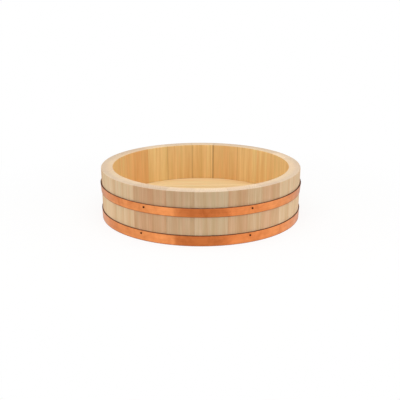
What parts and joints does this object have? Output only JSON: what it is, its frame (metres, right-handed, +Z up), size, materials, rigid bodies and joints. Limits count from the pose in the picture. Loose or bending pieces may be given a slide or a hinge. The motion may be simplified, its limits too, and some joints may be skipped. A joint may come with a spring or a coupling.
{
  "type": "sushi rice tub",
  "caption": "Round, shallow coopered tub of upright softwood staves round a boarded base, bound with nailed copper hoops, for cooling and seasoning sushi rice.",
  "frame": {"origin": "middle of the tub's foot, on its axis, in the plane that it stands on", "axes": "+Z up along the tub's axis, -Y towards the viewer of the picture, the lap of the hoops at the back towards +Y"},
  "size_m": [0.5204, 0.5222, 0.13],
  "materials": {
    "stave_wood": "matte",
    "base_wood": "matte",
    "copper": "satin",
    "copper_nail": "satin",
    "bamboo": "matte"
  },
  "bodies": {
    "root": {"stave_01": "stave_wood", "stave_02": "stave_wood", "stave_03": "stave_wood", "stave_04": "stave_wood", "stave_05": "stave_wood", "stave_06": "stave_wood", "stave_07": "stave_wood", "stave_08": "stave_wood", "stave_09": "stave_wood", "stave_10": "stave_wood", "stave_11": "stave_wood", "stave_12": "stave_wood", "stave_13": "stave_wood", "stave_14": "stave_wood", "stave_15": "stave_wood", "stave_16": "stave_wood", "stave_17": "stave_wood", "stave_18": "stave_wood", "stave_19": "stave_wood", "stave_20": "stave_wood", "stave_21": "stave_wood", "stave_22": "stave_wood", "stave_23": "stave_wood", "stave_24": "stave_wood", "base_board_1": "base_wood", "base_board_2": "base_wood", "base_board_3": "base_wood", "base_board_4": "base_wood", "base_board_5": "base_wood", "base_board_6": "base_wood", "base_peg_1": "bamboo", "base_peg_2": "bamboo", "base_peg_3": "bamboo", "base_peg_4": "bamboo", "base_peg_5": "bamboo", "base_peg_6": "bamboo", "base_peg_7": "bamboo", "base_peg_8": "bamboo", "base_peg_9": "bamboo", "base_peg_10": "bamboo", "upper_hoop": "copper", "lower_hoop": "copper", "upper_hoop_nail_1": "copper_nail", "upper_hoop_nail_2": "copper_nail", "upper_hoop_nail_3": "copper_nail", "upper_hoop_nail_4": "copper_nail", "upper_hoop_nail_5": "copper_nail", "upper_hoop_nail_6": "copper_nail", "lower_hoop_nail_1": "copper_nail", "lower_hoop_nail_2": "copper_nail", "lower_hoop_nail_3": "copper_nail", "lower_hoop_nail_4": "copper_nail", "lower_hoop_nail_5": "copper_nail", "lower_hoop_nail_6": "copper_nail", "upper_lap_nail_1": "copper_nail", "upper_lap_nail_2": "copper_nail", "lower_lap_nail_1": "copper_nail", "lower_lap_nail_2": "copper_nail"}
  },
  "joints": []
}
